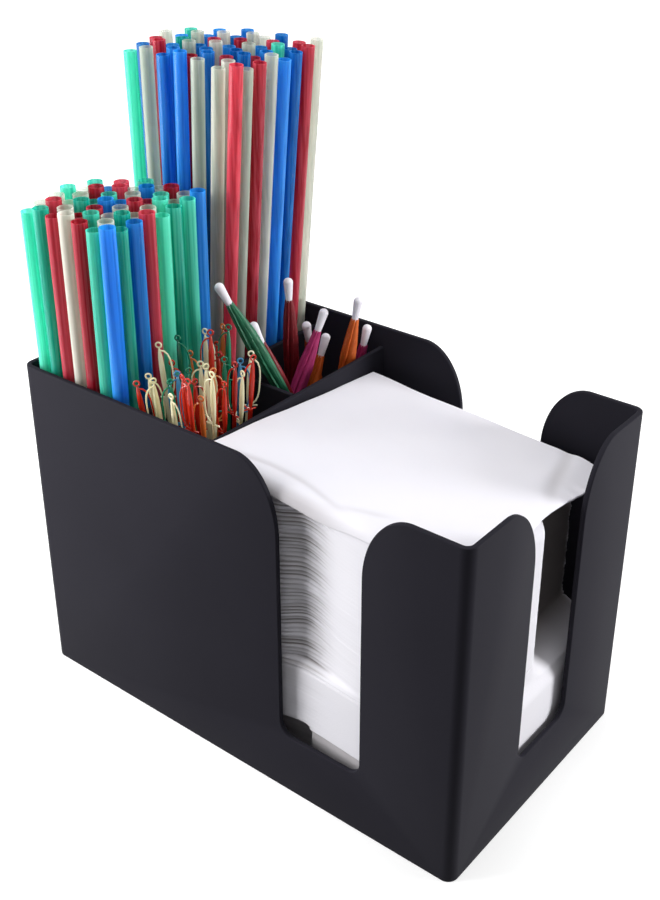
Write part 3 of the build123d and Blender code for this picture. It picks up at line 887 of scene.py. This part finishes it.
PICK_PLASTIC = {
    "red": pick_plastic("moulded_red_polystyrene", "#98100a", "#f04228"),
    "cream": pick_plastic("moulded_cream_polystyrene", "#ece6b0", "#fffff4"),
    "green": pick_plastic("moulded_green_polystyrene", "#066a4e", "#2cc090"),
    "orange": pick_plastic("moulded_orange_polystyrene", "#cf6a22", "#f2a560"),
    "blue": pick_plastic("moulded_blue_polystyrene", "#2273a6", "#5fb4dc"),
}
PICK_COLOURS = {"r": "red", "y": "cream", "c": "cream", "g": "green", "o": "orange", "b": "blue"}
pick = modelled_pick()
copies = {}
for row, letters in enumerate(PICK_ROWS):
    for column, letter in enumerate(letters):
        if letter == ".":
            continue
        count = column + row * 4
        across = column - 1.5
        deep = row - 4
        rise = max(0, PICK_LIFTED * uneven(count))
        foot = Vector((PICK_MIDDLE + across * FOOT_PITCH[0], -ROW_MIDDLE + deep * FOOT_PITCH[1],
                       0.003 + rise))
        top = Vector((PICK_MIDDLE + across * TOP_PITCH[0], -ROW_MIDDLE + deep * TOP_PITCH[1],
                      STOCK_FOOT + PICK_LENGTH + rise))
        top += Vector((uneven(count * 4 + 1), uneven(count * 9 + 5), 0)) * RING_STRAY
        turn = math.radians(30 + 45 * uneven(2 * count + 1) + 180 * (count % 2))
        copies.setdefault(PICK_COLOURS[letter], []).append(
            copy_at(pick, standing(foot, top, turn), own_shade(count)))
for colour, pieces in copies.items():
    join_as(f"picks_in_{colour}", pieces, PICK_PLASTIC[colour], f"sword_picks_{colour}",
            "sword_picks")
bpy.data.objects.remove(pick)


# ---------------------------------------------------------------------------
# The parasols: closed canopies of dyed paper, folded eight times and wrapped round
# turned birch sticks, each with a round-ended tip of white paper wound over the end.

STICK_RADIUS, STICK_ROUND = 0.001, 0.0002
# How far the middle of a stick stays from a wall that it leans on.
STICK_HOLD = 0.0013
TIP_LENGTH, TIP_RADIUS, TIP_ROUND = 0.016, 0.0022, 0.0021
TIP_TAPER = 0.55
# The canopy's top edge is tucked under the tip. Below it: the neck, belly and hem.
CANOPY_LENGTH, CANOPY_DOWN = 0.071, 0.011
NECK, BELLY, HEM = 0.0020, 0.0041, 0.0024
BELLY_DOWN, HEM_DOWN = 0.026, 0.066
FOLDS = 8
# Each parasol: its colour, the end of its tip, and how far it leans for each unit up.
PARASOLS = [
    ("green", (-0.0465, -0.0159, 0.2051), (0.28, 0.418)),
    ("dark_red", (-0.0457, 0.0049, 0.1797), (0.278, 0.273)),
    ("dark_red", (-0.0417, 0.0259, 0.1956), (-0.05, 0.095)),
    ("orange", (-0.0398, 0.0362, 0.1704), (-0.076, 0.275)),
    ("magenta", (-0.0313, 0.0400, 0.1784), (-0.151, -0.351)),
    ("orange", (-0.0355, 0.0466, 0.1622), (-0.06, -0.395)),
    ("orange", (-0.0177, 0.0482, 0.1850), (-0.154, -0.058)),
    ("magenta", (-0.0192, 0.0575, 0.1673), (-0.226, 0.0)),
]


def parasol_place(tip, lean):
    """How long a stick is that reaches the floor or a wall of its pocket, and its place."""
    fall = tip[2] - STOCK_FOOT - STICK_RADIUS * math.sin(math.atan(math.hypot(*lean)))
    walls_x = (CROSS_RIGHT + STICK_HOLD, NAPKIN_WALL_LEFT - STICK_HOLD)
    walls_y = (DIVIDER_SIDE + STICK_HOLD, INNER_Y - STICK_HOLD)
    for spot, run, walls in ((tip[0], lean[0], walls_x), (tip[1], lean[1], walls_y)):
        if run:
            fall = min(fall, (walls[run > 0] - spot) / run)
    top = Vector(tip)
    foot = top - Vector((-lean[0], -lean[1], 1)) * fall
    return (top - foot).length, standing(foot, top)


def canopy_radius(below):
    """The canopy's reach at a distance below its top: a neck, a belly and a narrow hem."""
    if below < BELLY_DOWN:
        return NECK + (BELLY - NECK) * math.sin(below / BELLY_DOWN * math.pi / 2)
    return BELLY - (BELLY - HEM) * ((below - BELLY_DOWN) / (HEM_DOWN - BELLY_DOWN)) ** 1.3


def canopy(length, seed):
    """A closed canopy: a tube of paper pushed into eight folds that wrap one way round."""
    bpy.ops.object.select_all(action="DESELECT")
    bpy.ops.mesh.primitive_cylinder_add(vertices=64, radius=0.004, depth=CANOPY_LENGTH,
                                        end_fill_type="NOTHING", location=(0, 0, CANOPY_LENGTH / 2))
    paper_tube = fresh("canopy")
    bpy.ops.object.mode_set(mode="EDIT")
    pick_edges(paper_tube, lambda e: along(e, 2))
    bpy.ops.mesh.subdivide(number_cuts=21)
    bpy.ops.object.mode_set(mode="OBJECT")
    for vertex in paper_tube.data.vertices:
        turn = math.atan2(vertex.co.y, vertex.co.x)
        up = vertex.co.z / CANOPY_LENGTH
        below = CANOPY_LENGTH - vertex.co.z
        wrap = turn + 1.1 * below / CANOPY_LENGTH + 0.15 * drift(seed, up * 3, 0)
        fold = (wrap * FOLDS / math.tau) % 1.0
        ridge = fold ** 0.7 if fold < 0.85 else 1 - (fold - 0.85) / 0.15
        depth = 0.34 + 0.10 * (1 - up)
        reach = canopy_radius(below) * (1 - depth + depth * ridge)
        reach *= 1 + 0.08 * drift(math.cos(turn) * 2, math.sin(turn) * 2, up * 6 + seed)
        ragged = 0.0025 * (ridge - 0.5) * (1 - up) ** 6
        vertex.co = (reach * math.cos(turn), reach * math.sin(turn), vertex.co.z - ragged)
    finish_with(paper_tube, "SOLIDIFY", thickness=0.00012, offset=-1.0)
    bpy.ops.object.shade_smooth_by_angle(angle=math.radians(42))
    paper_tube.data.transform(Matrix.Translation((0, 0, length - CANOPY_DOWN - CANOPY_LENGTH)))
    return paper_tube


def dyed_paper(name, deep, bright):
    """Dyed tissue-weight paper: matt, darker in the folds, with fibres along the ribs."""
    material, tree, out = new_material(name)
    place = node(tree, "ShaderNodeTexCoord")
    fibre = node(tree, "ShaderNodeTexNoise",
                 {"Vector": place.outputs["Object"], "Scale": 900.0, "Detail": 4.0})
    cloud = node(tree, "ShaderNodeTexNoise",
                 {"Vector": place.outputs["Object"], "Scale": 160.0, "Detail": 3.0})
    colour = node(tree, "ShaderNodeMix", {0: cloud.outputs["Fac"], 6: linear(deep), 7: linear(bright)},
                  data_type="RGBA")
    bump = node(tree, "ShaderNodeBump",
                {"Height": fibre.outputs["Fac"], "Strength": 0.4, "Distance": 0.0002})
    skin = node(tree, "ShaderNodeBsdfPrincipled", {
        "Base Color": colour.outputs[2], "Roughness": 0.55, "Normal": bump.outputs[0],
        "Specular IOR Level": 0.4, "Coat Weight": 0.1})
    through = node(tree, "ShaderNodeBsdfTranslucent", {"Color": colour.outputs[2]})
    mix = node(tree, "ShaderNodeMixShader", {0: 0.2, 1: skin.outputs[0], 2: through.outputs[0]})
    tree.links.new(mix.outputs[0], out.inputs["Surface"])
    return material


CANOPY_PAPER = {
    "green": dyed_paper("dyed_green_paper", "#063d28", "#2f8a62"),
    "dark_red": dyed_paper("dyed_dark_red_paper", "#5a0a10", "#9a1f2a"),
    "magenta": dyed_paper("dyed_magenta_paper", "#9a1550", "#d84a90"),
    "orange": dyed_paper("dyed_orange_paper", "#b8400a", "#f08030"),
}

# Turned birch: raw and dull, with a fine pale grain that runs along the stick.
wood, tree, out = new_material("turned_birch")
place = node(tree, "ShaderNodeTexCoord")
stretch = node(tree, "ShaderNodeMapping",
               {"Vector": place.outputs["Object"], "Scale": (1.0, 1.0, 0.03)})
grain = node(tree, "ShaderNodeTexNoise",
             {"Vector": stretch.outputs[0], "Scale": 1500.0, "Detail": 4.0})
colour = node(tree, "ShaderNodeMix",
              {0: grain.outputs["Fac"], 6: linear("#c9a878"), 7: linear("#ead6b0")},
              data_type="RGBA")
skin = node(tree, "ShaderNodeBsdfPrincipled", {"Base Color": colour.outputs[2], "Roughness": 0.7})
tree.links.new(skin.outputs[0], out.inputs["Surface"])

# White paper wound over the stick: matt and slightly lumpy, with soft greyer places.
tip_paper, tree, out = new_material("wound_white_paper")
place = node(tree, "ShaderNodeTexCoord")
winding = node(tree, "ShaderNodeTexNoise",
               {"Vector": place.outputs["Object"], "Scale": 420.0, "Detail": 3.0})
colour = node(tree, "ShaderNodeMix",
              {0: winding.outputs["Fac"], 6: linear("#e4e0ea"), 7: linear("#f4f2f6")},
              data_type="RGBA")
bump = node(tree, "ShaderNodeBump",
            {"Height": winding.outputs["Fac"], "Strength": 0.3, "Distance": 0.0002})
skin = node(tree, "ShaderNodeBsdfPrincipled", {"Base Color": colour.outputs[2], "Roughness": 0.8,
                                               "Normal": bump.outputs[0]})
tree.links.new(skin.outputs[0], out.inputs["Surface"])

sticks, tips, canopies = [], [], {}
for index, (colour, tip, lean) in enumerate(PARASOLS):
    length, place = parasol_place(tip, lean)
    bpy.ops.object.select_all(action="DESELECT")
    stick_length = length - TIP_LENGTH / 2
    bpy.ops.mesh.primitive_cylinder_add(vertices=16, radius=STICK_RADIUS, depth=stick_length,
                                        location=(0, 0, stick_length / 2))
    stick = fresh("stick")
    finish_with(stick, "BEVEL", width=STICK_ROUND, segments=2, limit_method="ANGLE",
                angle_limit=math.radians(60))
    bpy.ops.object.shade_smooth_by_angle(angle=math.radians(40))
    stick.data.transform(place)
    sticks.append(stick)
    bpy.ops.object.select_all(action="DESELECT")
    bpy.ops.mesh.primitive_cylinder_add(vertices=24, radius=TIP_RADIUS, depth=TIP_LENGTH,
                                        location=(0, 0, stick_length))
    cap = fresh("tip")
    bpy.ops.object.mode_set(mode="EDIT")
    pick_edges(cap, lambda e: min(v.co.z for v in e.verts) > length - 0.0001)
    bpy.ops.mesh.bevel(offset=TIP_ROUND, segments=7, affect="EDGES")
    pick_faces(cap, lambda f: f.normal.z < -0.9)
    bpy.ops.transform.resize(value=(TIP_TAPER, TIP_TAPER, 1),
                             center_override=(0, 0, length - TIP_LENGTH))
    bpy.ops.object.mode_set(mode="OBJECT")
    bpy.ops.object.shade_smooth_by_angle(angle=math.radians(40))
    cap.data.transform(place)
    tips.append(cap)
    cover = canopy(length, index * 3.3)
    cover.data.transform(place)
    canopies.setdefault(colour, []).append(cover)
join_as("birch_sticks", sticks, wood, "parasol_sticks", "parasols")
join_as("round_paper_tips", tips, tip_paper, "parasol_tips", "parasols")
for colour, pieces in canopies.items():
    join_as(f"canopies_in_{colour}", pieces, CANOPY_PAPER[colour], f"parasol_canopies_{colour}",
            "parasols")
